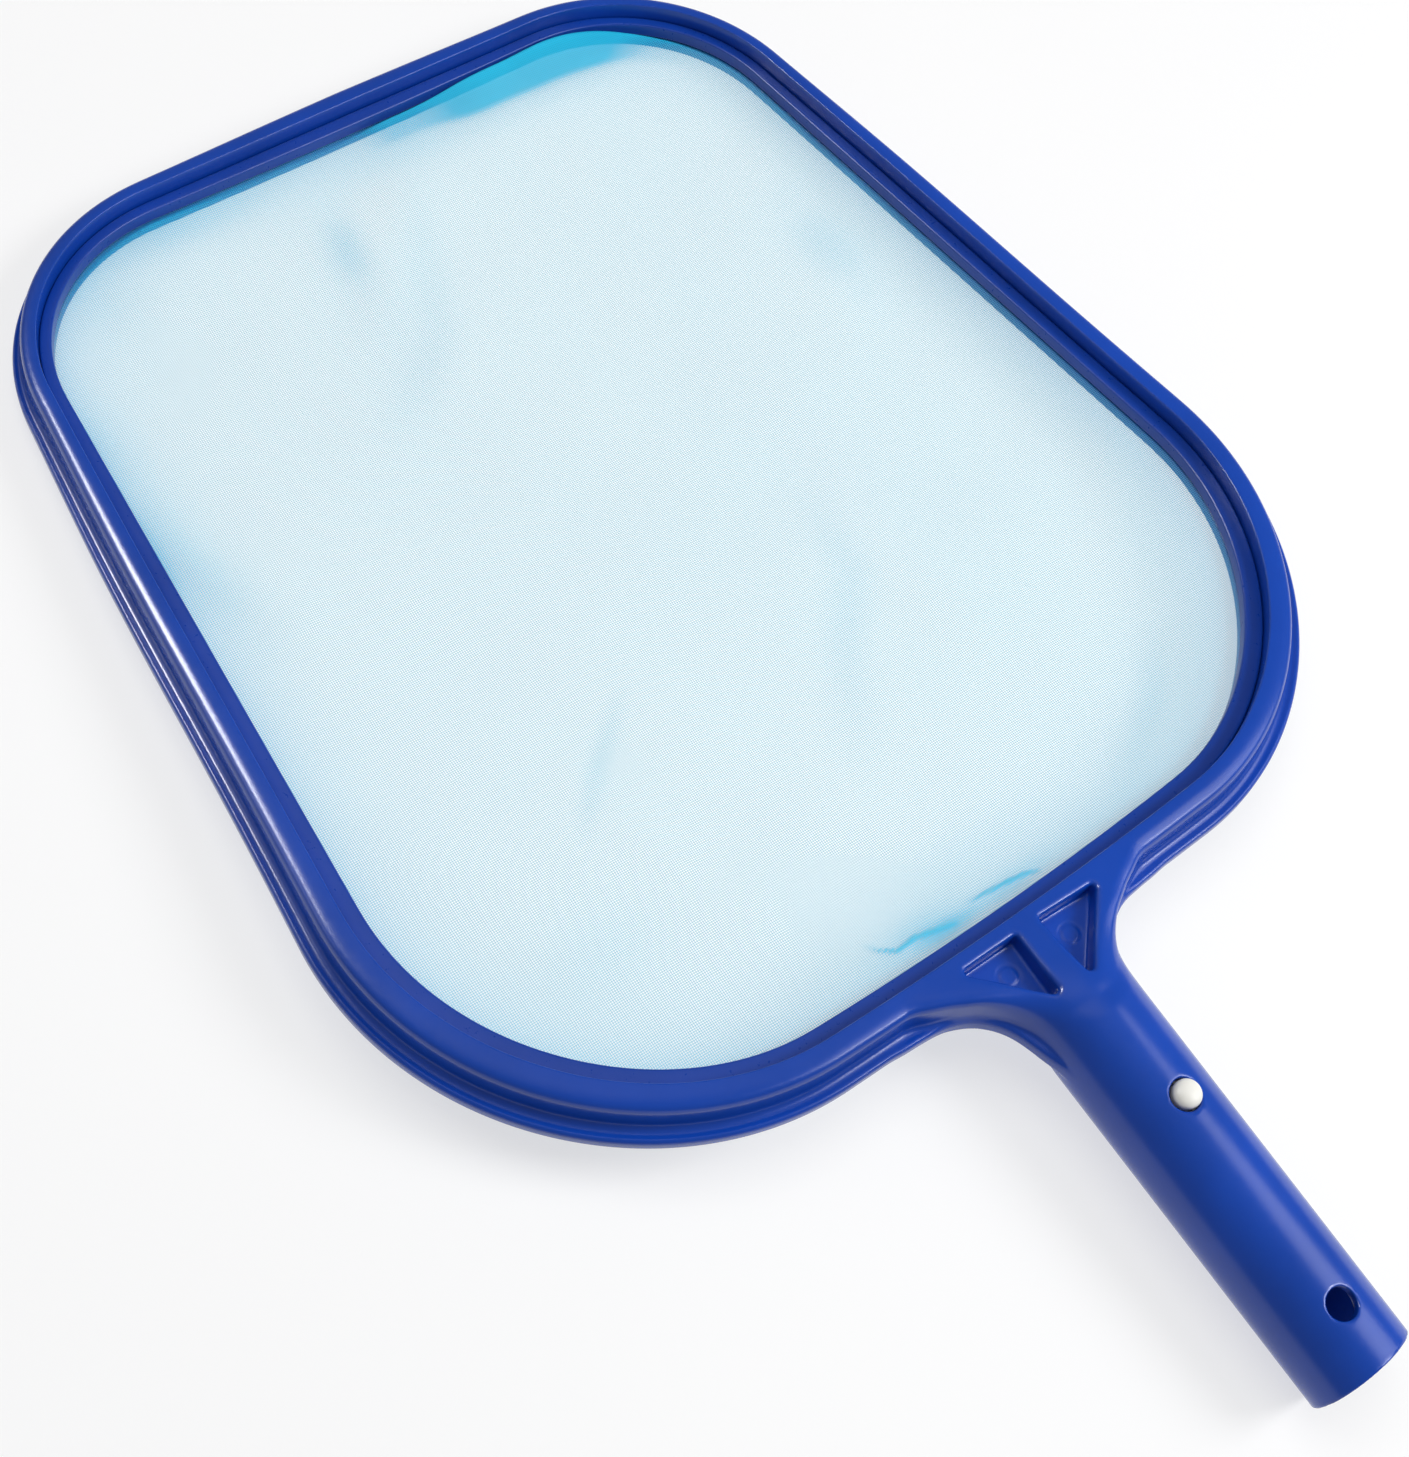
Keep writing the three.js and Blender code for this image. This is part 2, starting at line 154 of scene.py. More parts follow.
LEAD = offset_point(np.arange(0, PERIM, 1.0), 15.3)[:, 1].max()
_hf, _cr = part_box("head_frame"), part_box("net_clamp_ring")
OFFSET = np.array([0.0, _hf[1].y * 1000 - LEAD, _cr[1].z * 1000])


def to_row(p):
    return (np.asarray(p, float) + OFFSET) / 1000.0


def ring_u(x, y):
    """How far outwards of the net opening a point near the handle side lies, in section units."""
    s = x * 1.0
    for _ in range(5):
        b, t = along(OUT, s), along(TAN, s)
        s = s + (x - b[:, 0]) * t[:, 0] + (y - b[:, 1]) * t[:, 1]
    b, n = along(OUT, s), along(NOR, s)
    return ((x - b[:, 0]) * n[:, 0] + (y - b[:, 1]) * n[:, 1]) / along(WIDTH, s)


# ----------------------------------------------------------- implicit shapes
def smin(a, b, k):
    h = np.clip(0.5 + 0.5 * (b - a) / k, 0, 1)
    return b * (1 - h) + a * h - k * h * (1 - h)


def smax(a, b, k):
    return -smin(-a, -b, k)


def step(a, b, x):
    t = np.clip((x - a) / (b - a), 0, 1)
    return t * t * (3 - 2 * t)


def spline(points, per=6):
    """A smooth open curve through the points."""
    p = np.array(points, float)
    q = np.concatenate([[2 * p[0] - p[1]], p, [2 * p[-1] - p[-2]]])
    out = []
    for i in range(1, len(q) - 2):
        for j in range(per):
            t = j / per
            a, b, c, d = q[i - 1], q[i], q[i + 1], q[i + 2]
            out.append(0.5 * ((2 * b) + (c - a) * t + (2 * a - 5 * b + 4 * c - d) * t * t + (3 * b - a - 3 * c + d) * t ** 3))
    out.append(p[-1])
    return np.array(out)


def poly_sd(x, y, poly):
    """Signed distance to a closed polygon, negative inside."""
    d = np.full(x.shape, 1e9)
    inside = np.zeros(x.shape, bool)
    m = len(poly)
    for i in range(m):
        a, b = poly[i], poly[(i + 1) % m]
        ex, ey = b[0] - a[0], b[1] - a[1]
        wx, wy = x - a[0], y - a[1]
        t = np.clip((wx * ex + wy * ey) / max(ex * ex + ey * ey, 1e-12), 0, 1)
        d = np.minimum(d, (wx - ex * t) ** 2 + (wy - ey * t) ** 2)
        if abs(ey) > 1e-12:
            c = ((a[1] <= y) & (b[1] > y)) | ((b[1] <= y) & (a[1] > y))
            inside ^= c & (x < a[0] + ex * (y - a[1]) / ey)
    return np.where(inside, -1, 1) * np.sqrt(d)


def mirrored(half):
    h = spline(half)
    return np.concatenate([h, (h * [-1, 1])[::-1]])


PLATE = spline([[38.9, -17.6], [34.2, -19.75], [28.4, -22.4], [22.2, -26.4], [18.0, -31.4], [15.4, -36.6], [13.6, -42], [12.4, -48]])
PLATE = np.concatenate([[[48, -7]], PLATE])
PLATE = np.concatenate([PLATE, (PLATE * [-1, 1])[::-1]])
LIP = mirrored([[64, -4], [54, -17], [45.5, -22.6], [38.6, -23.9], [32.0, -25.1], [27.4, -26.9], [24.4, -28.7], [21.9, -31.0],
                [19.4, -34.4], [17.7, -38.2], [16.5, -43], [15.5, -49], [14.5, -55], [13.0, -61], [10, -68]])
NECK_SHIFT = 2.1


def neck_x(x, y):
    """The neck plate stands slightly to one side of the handle, as moulded."""
    return x + NECK_SHIFT * step(-68, -28, y)


CREST_K = 1.1
BUTTON_X, BUTTON_V = 1.2, -0.8
BUTTON_AT = (0.23, -0.05)


def section_wall(u, z, top, k1, k2):
    """Upper part of the rim: flat top, rounded shoulder and outer wall."""
    f1 = z - top
    f2 = (u - 8.75) * 0.50 + (z - top) * 0.866
    f3 = (u - 10.75) * 0.996 + (z - top + 2.0) * 0.075
    return f1, smax(f2, f3, k2), k1


def lip_slab(u, z):
    bead = 0.42 * np.exp(-((u - 14.35) / 0.75) ** 2)
    g = smax(z - (-4.55 + bead), (u - 15.3) * 0.995 + (z + 6.2) * 0.03, 0.9)
    return smax(g, BASE_Z - z, 0.7)


def inner_cut(u, z):
    """Positive inside the net opening: the seat, and the rim's inner wall above it."""
    wall = (4.8 - u) - 0.02 * (z - SEAT_Z)
    return smin(smax(0.6 - u, z - SEAT_Z, 0.4), wall, 0.7)


def channel(u, z):
    """The hollow underneath the rim."""
    return smax(np.abs(u - 8.1) - 1.15 + 0.03 * (z + 8.2), z - 2.4, 0.8)


def ring_section(u, z):
    f1, side, k1 = section_wall(u, z, RIM_TOP, CREST_K, 1.5)
    body = smax(side, BASE_Z - z, 0.6)
    body = smax(f1, body, k1)
    body = smin(body, lip_slab(u, z), 2.6)
    body = smax(body, inner_cut(u, z), 0.5)
    return smax(body, -channel(u, z), 0.4)


POCKETS = [np.array([[-23.8, -17.7], [-4.0, -17.9], [-5.6, -38.0]]), np.array([[3.3, -17.6], [23.6, -18.6], [3.4, -38.6]])]


def inset(tri, r):
    """The triangle with every side moved inwards by r."""
    a, b, c = (np.linalg.norm(tri[1] - tri[2]), np.linalg.norm(tri[2] - tri[0]), np.linalg.norm(tri[0] - tri[1]))
    centre = (a * tri[0] + b * tri[1] + c * tri[2]) / (a + b + c)
    u, w = tri[1] - tri[0], tri[2] - tri[0]
    inr = abs(u[0] * w[1] - u[1] * w[0]) / (a + b + c)
    return centre + (tri - centre) * (1 - r / inr)


PINS = [np.array([-11.3, -25.0]), np.array([9.8, -25.4])]
POCKET_FLOOR = 0.3


def flat_fields(x, y):
    """The parts of the shape that depend on X and Y only."""
    sh = x.shape
    xf, yf = x.ravel(), y.ravel()
    xs = neck_x(xf, yf)
    near = np.abs(xf) < 64
    dp, dl = poly_sd(xs, yf, PLATE), poly_sd(xs, yf, LIP)
    pk = np.full(xf.shape, 40.0)
    for tri in POCKETS:
        pk = np.minimum(pk, poly_sd(xs, yf, inset(tri, 1.3)) - 0.8)
    pin = np.full(xf.shape, 9.0)
    for c in PINS:
        pin = np.minimum(pin, np.hypot(xs - c[0], yf - c[1]) - 2.4)
    out = dict(u=ring_u(xf, yf), dp=np.where(near, dp, 40), dl=np.where(near, dl, 40), pk=pk, xs=xs, pin=pin)
    return {k: v.reshape(sh) for k, v in out.items()}


def head_shape(x, y, z, f):
    """The whole moulding near the handle, as one implicit solid."""
    u, dp, dl, xs = f["u"], f["dp"], f["dl"], f["xs"]
    yy, zz = y - REF[1], z - REF[2]
    v = yy * AY[1] + zz * AY[2]
    w = yy * AZ[1] + zz * AZ[2]
    rho = np.sqrt(x * x + w * w)
    mask = 1 - step(30, 43, np.abs(xs))
    top = RIM_TOP + 0.085 * np.maximum(0, -14.5 - y) * mask
    down = step(-24, -50, y)
    k1 = CREST_K + 5.0 * down
    k2 = 1.5 + 9.0 * step(-26, -44, y)
    u1 = smin(u, 8.75 + dp, 1.0)
    u2 = smin(u, 15.3 + dl, 3.0)
    f1, side, _ = section_wall(u1, z, top, k1, k2)
    body = smax(side, BASE_Z - z, 0.6)
    body = smax(f1, body, k1)
    tube = rho - (R_NECK + (R_END - R_NECK) * np.minimum(v / V_END, 1))
    # the flat of the neck turns into the round of the handle
    melt = step(-25, -51, y)
    body = body * (1 - melt) + tube * melt
    ramp = (y + 16) * 0.444 - (z + 8.2) * 0.896
    below = smax(smax(tube, v - 36, 3), smax(ramp, z + 1.0 - 14 * step(-30, -56, y), 3), 3)
    body = smin(body, smax(below, 5.9 - u, 0.4), 2.2)
    end = step(-44, -62, y)
    body = smin(body, lip_slab(u2, z) + 2.0 * end, 2.6 - 1.8 * end)
    body = smax(body, V_END - 1.9 + 0.05 * x - v, 0.5)
    body = smax(body, inner_cut(u, z), 0.5)
    gap = smax(channel(u, z), 45 - np.abs(x), 1.5)
    body = smax(body, -gap, 0.4)
    bore = smax(rho - BORE_R, v - BORE_END, 3)
    body = smax(body, -bore, 0.6)
    for cx, at, r in ((BUTTON_X, V_BUTTON + BUTTON_V, HOLE_R + 0.3), (0.0, V_SPARE, HOLE_R + 0.1)):
        body = smax(body, r - np.sqrt((x - cx) ** 2 + (v - at) ** 2), 0.5)
    floor_z = POCKET_FLOOR + 0.2 * np.clip(0.5 - f["pin"] / 0.5, 0, 1) - 0.17 * np.exp(-((f["pin"] - 0.5) / 0.45) ** 2)
    pocket = smax(f["pk"] - 0.06 * (z - POCKET_FLOOR), floor_z - z, 0.8)
    return smax(body, -pocket, 1.5)


# ------------------------------------------------------------ section outline
def contour(fn, u0, u1, z0, z1, h=0.08):
    """The closed zero line of fn in the section plane, ordered, refined and evenly dense where it turns."""
    us, zs = np.arange(u0, u1, h), np.arange(z0, z1, h)
    U, Z = np.meshgrid(us, zs, indexing="ij")
    F = fn(U, Z)
    s = F < 0
    mixed = ~((s[:-1, :-1] & s[1:, :-1] & s[:-1, 1:] & s[1:, 1:]) | ~(s[:-1, :-1] | s[1:, :-1] | s[:-1, 1:] | s[1:, 1:]))
    ci, cj = np.nonzero(mixed)
    pts = np.stack([us[ci] + h / 2, zs[cj] + h / 2], 1)
    ids = -np.ones(mixed.shape, int)
    ids[ci, cj] = np.arange(len(ci))
    nxt = {}
    # vertical and horizontal grid edges that change sign join the two cells beside them
    a, b = s[1:-1, :-1], s[1:-1, 1:]
    for i, j in zip(*np.nonzero(a != b)):
        p, q = ids[i, j], ids[i + 1, j]
        if s[i + 1, j]:
            p, q = q, p
        nxt[p] = q
    a, b = s[:-1, 1:-1], s[1:, 1:-1]
    for i, j in zip(*np.nonzero(a != b)):
        p, q = ids[i, j], ids[i, j + 1]
        if not s[i, j + 1]:
            p, q = q, p
        nxt[p] = q
    start = next(iter(nxt))
    order, k = [start], nxt[start]
    while k != start and len(order) < len(nxt) + 5:
        order.append(k)
        k = nxt[k]
    p = pts[order]
    e = 1e-3
    for _ in range(6):
        f0 = fn(p[:, 0], p[:, 1])
        gu = (fn(p[:, 0] + e, p[:, 1]) - fn(p[:, 0] - e, p[:, 1])) / (2 * e)
        gz = (fn(p[:, 0], p[:, 1] + e) - fn(p[:, 0], p[:, 1] - e)) / (2 * e)
        g2 = np.maximum(gu * gu + gz * gz, 1e-6)
        p = p - np.stack([f0 * gu / g2, f0 * gz / g2], 1)
    # fewer points where the line is straight
    q, _ = resample_closed(p, 1600)
    t = np.roll(q, -1, 0) - np.roll(q, 1, 0)
    ang = np.unwrap(np.arctan2(t[:, 1], t[:, 0]))
    turn = np.abs(np.diff(np.concatenate([ang, [ang[0] + round((ang[-1] - ang[0]) / (2 * math.pi)) * 2 * math.pi]])))
    seg = np.linalg.norm(np.roll(q, -1, 0) - q, axis=1)
    weight = seg / 1.9 + turn / 0.17
    cum = np.concatenate([[0], np.cumsum(weight)])
    n = int(round(cum[-1]))
    at = np.arange(n) / n * cum[-1]
    qq = np.concatenate([q, q[:1]])
    out = np.stack([np.interp(at, cum, qq[:, c]) for c in (0, 1)], 1)
    for _ in range(3):
        f0 = fn(out[:, 0], out[:, 1])
        gu = (fn(out[:, 0] + e, out[:, 1]) - fn(out[:, 0] - e, out[:, 1])) / (2 * e)
        gz = (fn(out[:, 0], out[:, 1] + e) - fn(out[:, 0], out[:, 1] - e)) / (2 * e)
        g2 = np.maximum(gu * gu + gz * gz, 1e-6)
        out = out - np.stack([f0 * gu / g2, f0 * gz / g2], 1)
    area = 0.5 * np.sum(out[:, 0] * np.roll(out[:, 1], -1) - np.roll(out[:, 0], -1) * out[:, 1])
    return out if area > 0 else out[::-1]


def loop_param(p):
    q = np.concatenate([p, p[:1]])
    s = np.concatenate([[0], np.cumsum(np.linalg.norm(np.diff(q, axis=0), axis=1))])
    return s[:-1] / s[-1]


def rotate_to(p, target):
    i = int(np.argmin(np.linalg.norm(p - np.array(target), axis=1)))
    return np.roll(p, -i, 0)


# --------------------------------------------------------------- surface nets
def surface_nets(xs, ys, zs, F):
    """Quads round the zero level of F on a rectilinear grid."""
    s = F < 0
    nx, ny, nz = F.shape
    c = s[:-1, :-1, :-1].astype(np.int8)
    for dx, dy, dz in ((1, 0, 0), (0, 1, 0), (0, 0, 1), (1, 1, 0), (1, 0, 1), (0, 1, 1), (1, 1, 1)):
        c = c + s[dx:nx - 1 + dx, dy:ny - 1 + dy, dz:nz - 1 + dz]
    I, J, K = np.nonzero((c > 0) & (c < 8))
    ids = -np.ones((nx - 1, ny - 1, nz - 1), np.int32)
    ids[I, J, K] = np.arange(len(I), dtype=np.int32)
    acc, cnt = np.zeros((len(I), 3)), np.zeros(len(I))
    ax = (xs, ys, zs)
    for axis in range(3):
        o = [0, 0, 0]
        o[axis] = 1
        others = [a for a in range(3) if a != axis]
        for p in (0, 1):
            for q in (0, 1):
                st = [0, 0, 0]
                st[others[0]], st[others[1]] = p, q
                a = (I + st[0], J + st[1], K + st[2])
                b = (a[0] + o[0], a[1] + o[1], a[2] + o[2])
                fa, fb = F[a], F[b]
                hit = (fa < 0) != (fb < 0)
                t = np.where(hit, fa / np.where(hit, fa - fb, 1), 0)
                pa = np.stack([xs[a[0]], ys[a[1]], zs[a[2]]], 1)
                pb = np.stack([xs[b[0]], ys[b[1]], zs[b[2]]], 1)
                acc += np.where(hit[:, None], pa + (pb - pa) * t[:, None], 0)
                cnt += hit
    V = acc / cnt[:, None]
    quads = []
    for axis in range(3):
        sl0, sl1 = [slice(1, -1)] * 3, [slice(1, -1)] * 3
        sl0[axis], sl1[axis] = slice(0, -1), slice(1, None)
        a, b = s[tuple(sl0)], s[tuple(sl1)]
        E = np.argwhere(a != b)
        flip = a[tuple(E.T)]
        E = E + [0 if k == axis else 1 for k in range(3)]
        o1, o2 = [k for k in range(3) if k != axis]
        d1, d2 = np.eye(3, dtype=int)[o1], np.eye(3, dtype=int)[o2]
        q = np.stack([ids[tuple((E - d1 - d2).T)], ids[tuple((E - d2).T)], ids[tuple(E.T)], ids[tuple((E - d1).T)]], 1)
        if axis == 1:
            flip = ~flip
        q = np.where(flip[:, None], q, q[:, ::-1])
        quads.append(q)
    return V, np.concatenate(quads)


def project(V, value, times=4, cap=0.5):
    e = 0.02
    for _ in range(times):
        f0 = value(V)
        g = np.stack([(value(V + d) - value(V - d)) / (2 * e) for d in np.eye(3) * e], 1)
        g2 = np.maximum((g * g).sum(1), 0.05)
        mv = -(f0 / g2)[:, None] * g
        ln = np.linalg.norm(mv, axis=1)
        V = V + mv * np.minimum(1, cap / np.maximum(ln, 1e-9))[:, None]
    return V


def grid_lines(spans):
    """Coordinates from [(start, end, step), ...]."""
    out = [spans[0][0]]
    for a, b, h in spans:
        n = max(1, int(round((b - a) / h)))
        out += list(a + (b - a) * np.arange(1, n + 1) / n)
    return np.array(out)


def build_moulding():
    """Vertices and faces of the whole head frame: a swept rim and the neck with its handle, sewn together."""
    coarse = 1.0
    xs = grid_lines([(-70, -44, 0.9 * coarse), (-44, 44, 0.5 * coarse), (44, 70, 0.9 * coarse)])
    ys = grid_lines([(-152.5, -138, 0.7 * coarse), (-138, -126, 0.5 * coarse), (-126, -78, 1.2 * coarse), (-78, -66, 0.5 * coarse),
                     (-66, -50, 0.9 * coarse), (-50, 1, 0.5 * coarse)])
    zs = grid_lines([(-35, -12, 0.8 * coarse), (-12, 9.5, 0.5 * coarse)])
    X2, Y2 = np.meshgrid(xs, ys, indexing="ij")
    flat = flat_fields(X2, Y2)
    F = np.empty((len(xs), len(ys), len(zs)), np.float32)
    f3 = {k: v[:, :, None] for k, v in flat.items()}
    for k0 in range(0, len(zs), 12):
        zz = zs[None, None, k0:k0 + 12]
        F[:, :, k0:k0 + 12] = head_shape(X2[:, :, None], Y2[:, :, None], zz, f3)
    V, Q = surface_nets(xs, ys, zs, F)

    def value(P):
        return head_shape(P[:, 0], P[:, 1], P[:, 2], flat_fields(P[:, 0], P[:, 1]))

    V = project(V, value, 3)
    # cut the mesh square across the rim on both sides of the neck
    s0 = 64.0
    seams = []
    bm = bmesh.new()
    vs = [bm.verts.new(p) for p in V]
    for q in Q:
        try:
            bm.faces.new([vs[i] for i in q])
        except ValueError:
            pass
    for sgn in (1, -1):
        at = sgn * s0
        o, t = along(OUT, np.array([at % PERIM]))[0], along(TAN, np.array([at % PERIM]))[0] * sgn
        bmesh.ops.bisect_plane(bm, geom=bm.verts[:] + bm.edges[:] + bm.faces[:], dist=1e-5, plane_co=(o[0], o[1], 0),
                               plane_no=(t[0], t[1], 0), clear_outer=True)
        seams.append((at, o, t))
    bmesh.ops.dissolve_degenerate(bm, dist=0.02, edges=bm.edges[:])
    bm.verts.ensure_lookup_table()
    bm.verts.index_update()
    loose = [v for v in bm.verts if not v.link_faces]
    bmesh.ops.delete(bm, geom=loose, context="VERTS")
    bm.verts.ensure_lookup_table()
    bm.verts.index_update()
    V = np.array([v.co for v in bm.verts])
    faces = [[v.index for v in f.verts] for f in bm.faces]
    loops = []
    for at, o, t in seams:
        edges = [e for e in bm.edges if e.is_boundary and all(abs((v.co.x - o[0]) * t[0] + (v.co.y - o[1]) * t[1]) < 0.01 for v in e.verts)]
        near = {}
        for e in edges:
            a, b = e.verts[0].index, e.verts[1].index
            near.setdefault(a, []).append(b)
            near.setdefault(b, []).append(a)
        best = []
        seen = set()
        for k in near:
            if k in seen:
                continue
            loop, prev, cur = [k], None, k
            seen.add(k)
            while True:
                nx = [n for n in near[cur] if n != prev and (n not in seen or n == k)]
                nx = [n for n in nx if not (n == k and len(loop) < 3)]
                if not nx or nx[0] == k:
                    break
                prev, cur = cur, nx[0]
                loop.append(cur)
                seen.add(cur)
            if len(loop) > len(best):
                best = loop
        loops.append(best)
    bm.free()
    # the swept part
    sec = rotate_to(contour(ring_section, -1.5, 18, -10, 7), (0.6, -8.2))
    n_sweep = 560
    stations = np.linspace(s0, PERIM - s0, n_sweep + 2)[1:-1]
    xy = offset_point(stations[:, None], sec[None, :, 0])
    ring = np.concatenate([xy, np.broadcast_to(sec[None, :, 1], xy.shape[:2])[:, :, None]], 2)
    m = len(sec)
    base = len(V)
    V = np.concatenate([V, ring.reshape(-1, 3)])
    for i in range(len(stations) - 1):
        a, b = base + i * m, base + (i + 1) * m
        for j in range(m):
            k = (j + 1) % m
            faces.append([a + j, a + k, b + k, b + j])
    tp = loop_param(sec)
    for (at, o, t), loop, row in zip(seams, loops, (0, len(stations) - 1)):
        n = along(NOR, np.array([at % PERIM]))[0]
        k = along(WIDTH, np.array([at % PERIM]))[0]
        P = V[loop]
        uz = np.stack([((P[:, 0] - o[0]) * n[0] + (P[:, 1] - o[1]) * n[1]) / k, P[:, 2]], 1)
        area = 0.5 * np.sum(uz[:, 0] * np.roll(uz[:, 1], -1) - np.roll(uz[:, 0], -1) * uz[:, 1])
        order = list(loop)
        if area < 0:
            order, uz = order[::-1], uz[::-1]
        i0 = int(np.argmin(np.linalg.norm(uz - sec[0], axis=1)))
        order = order[i0:] + order[:i0]
        uz = np.roll(uz, -i0, 0)
        lp = loop_param(uz)
        A, B = order, [base + row * m + j for j in range(m)]
        pa, pb = np.append(lp, 1.0), np.append(tp, 1.0)
        i = j = 0
        while i < len(A) or j < len(B):
            take_a = j >= len(B) or (i < len(A) and pa[i + 1] <= pb[j + 1])
            a0, b0 = A[i % len(A)], B[j % len(B)]
            if take_a:
                tri = [a0, A[(i + 1) % len(A)], b0]
                i += 1
            else:
                tri = [a0, B[(j + 1) % len(B)], b0]
                j += 1
            faces.append(tri if row == 0 else tri[::-1])
    return V, faces


def mesh_object(name, V, faces, smooth=True, uv=None):
    me = bpy.data.meshes.new(name)
    me.from_pydata([tuple(p) for p in to_row(V)], [], [tuple(int(i) for i in f) for f in faces])
    me.validate()
    bm = bmesh.new()
    bm.from_mesh(me)
    bmesh.ops.recalc_face_normals(bm, faces=bm.faces[:])
    bm.to_mesh(me)
    bm.free()
    if smooth:
        me.polygons.foreach_set("use_smooth", [True] * len(me.polygons))
    ob = bpy.data.objects.new(name, me)
    bpy.context.scene.collection.objects.link(ob)
    return ob


def grid_faces(n, m, close_n=True, close_m=True, base=0):
    """Quads of an n by m grid of vertices."""
    out = []
    for i in range(n if close_n else n - 1):
        for j in range(m if close_m else m - 1):
            a, b = i * m + j, i * m + (j + 1) % m
            c, d = ((i + 1) % n) * m + (j + 1) % m, ((i + 1) % n) * m + j
            out.append([base + a, base + b, base + c, base + d])
    return out


V, Fc = build_moulding()
moulding = mesh_object("rim_and_handle", V, Fc)
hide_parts("head_frame")
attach(moulding, "frame")


# --------------------------------------------------------------- clamp ring
def clamp_section(u, z):
    a = smax(smax(-u, u - CLAMP_W + 0.02 * (z + 2), 0.3), smax(z, -CLAMP_H - z, 0.3), 0.75)
    return smax(a, (-(u - 0.15) - (z - 0.0) * -0.6 - 0.35) * 0.8, 0.5)


csec = contour(lambda u, z: smax(smax(-u, u - CLAMP_W - 0.2, 0.3), smax(z, -CLAMP_H - z, 0.3), 0.8), -1.0, 6.0, -6, 2, 0.05)
nst = 420
st = np.arange(nst) / nst * PERIM
xy = offset_point(st[:, None], csec[None, :, 0])
clamp_v = np.concatenate([xy, np.broadcast_to(csec[None, :, 1], xy.shape[:2])[:, :, None]], 2).reshape(-1, 3)
clamp = mesh_object("clamp_ring", clamp_v, grid_faces(nst, len(csec)))
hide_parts("net_clamp_ring")
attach(clamp, "frame")

# ---------------------------------------------------------------------- net
NET_N = 1100
rows_d = [-3.9, -2.6, -1.3, -0.5]
d, h = 0.3, 0.45
while d < 116:
    rows_d.append(d)
    h = min(2.2, h * 1.035)
    d += h * 1.0
rows_d = np.array(rows_d)
sN = np.arange(NET_N) / NET_N * PERIM
edge = offset_point(sN, 0.0)
EDGE_Z = -4.72
centre = np.array([0.0, CY])


def around(s, table):
    """Height along the edge from (arc length, value) pairs, zero outside them."""
    a = np.array(table, float)
    xs_ = np.linspace(a[0, 0], a[-1, 0], 400)
    ys_ = np.interp(xs_, a[:, 0], a[:, 1])
    ker = np.hanning(23)
    ys_ = np.convolve(np.pad(ys_, 11, mode="edge"), ker / ker.sum(), "valid")
    return np.interp(s, xs_, ys_, left=0, right=0)


def line_distance(x, y, pts):
    """Distance to a polyline and how far along it, 0 to 1."""
    best, at = np.full(x.shape, 1e9), np.zeros(x.shape)
    p = np.array(pts, float)
    for i in range(len(p) - 1):
        e = p[i + 1] - p[i]
        t = np.clip(((x - p[i, 0]) * e[0] + (y - p[i, 1]) * e[1]) / (e @ e), 0, 1)
        dd = np.hypot(x - p[i, 0] - t * e[0], y - p[i, 1] - t * e[1])
        at = np.where(dd < best, (i + t) / (len(p) - 1), at)
        best = np.minimum(best, dd)
    return best, at


# slack that stands up along the edge: (arc length, height)
SLACK = [[276, 0], [300, 0.7], [318, 1.1], [336, 0.8], [352, 1.5], [372, 1.3], [388, 1.2], [402, 1.9], [412, 2.6], [424, 4.4], [434, 5.4],
         [447, 5.8], [458, 5.0], [467, 5.2], [476, 4.6], [484, 3.1], [495, 2.3], [504, 2.5], [514, 1.3], [528, 0.3], [540, 1.0],
         [552, 0.4], [564, 0.8], [574, 1.2], [586, 1.5], [598, 1.1], [610, 0.6], [626, 0.2], [640, 0]]
# long soft folds: start, end, width, height
FOLDS = [((1, 276), (-34, 236), 9, 1.3), ((-34, 250), (-38, 180), 12, -0.9), ((57, 150), (50, 60), 10, 0.8), ((-70, 84), (-62, 50), 5, 0.7),
         ((104, 192), (80, 150), 11, 0.8), ((-128, 205), (-104, 166), 8, 1.1), ((123, 84), (104, 60), 8, 0.9), ((20, 250), (24, 190), 14, -0.7),
         ((-60, 300), (-20, 282), 8, -0.8), ((60, 262), (48, 210), 12, 0.7), ((-100, 40), (-60, 20), 10, 0.6)]
CREASES = [([[-36.5, 3.4], [-34.4, 0.3], [-30.4, -2.6], [-24.5, -2.3], [-18.1, -4.0], [-12.7, -5.4]], 0.62, 0.8),
           ([[-6.5, -2.4], [-0.7, -3.2], [4.6, -3.8], [11.6, -5.0], [15.5, -6.3]], 0.55, 0.7)]
# places where the cloth is bunched and looks deeper in colour: x, y, sx, sy, amount
PATCHES = [(-22, -2, 12, 5, 0.40), (-15, -5, 9, 2.6, 0.42), (6, -5, 14, 3.4, 0.36), (-4, 8, 26, 9, 0.10), (-96, 285, 12, 12, 0.14), (-122, 240, 9, 22, 0.20),
           (-66, 298, 34, 7, 0.30), (70, 292, 34, 8, 0.22), (12, 292, 24, 8, 0.20), (-92, 40, 18, 12, 0.12), (60, 120, 34, 60, 0.04), (-30, 246, 12, 22, 0.08)]
STREAKS = [([[-21, 280], [-25, 267], [-28, 254]], 6.0, 0.30), ([[6, 280], [-18, 227], [-47, 205]], 7.0, 0.10), ([[-45, 98], [-61, 85.5], [-77, 70]], 3.2, 0.17),
           ([[39, 119], [34, 95], [17, 77], [0, 50]], 6.5, 0.13), ([[-125, 222], [-123, 196], [-116, 168]], 9.0, 0.27), ([[102, 208], [101, 176]], 9.0, 0.20),
           ([[92, 30], [77, 15], [51, 0]], 5.0, 0.12)]
rng = np.random.default_rng(11)
WAVES = [(rng.normal(0, 0.035), rng.normal(0, 0.035), rng.uniform(0, 6.28), rng.uniform(0.10, 0.26)) for _ in range(14)]


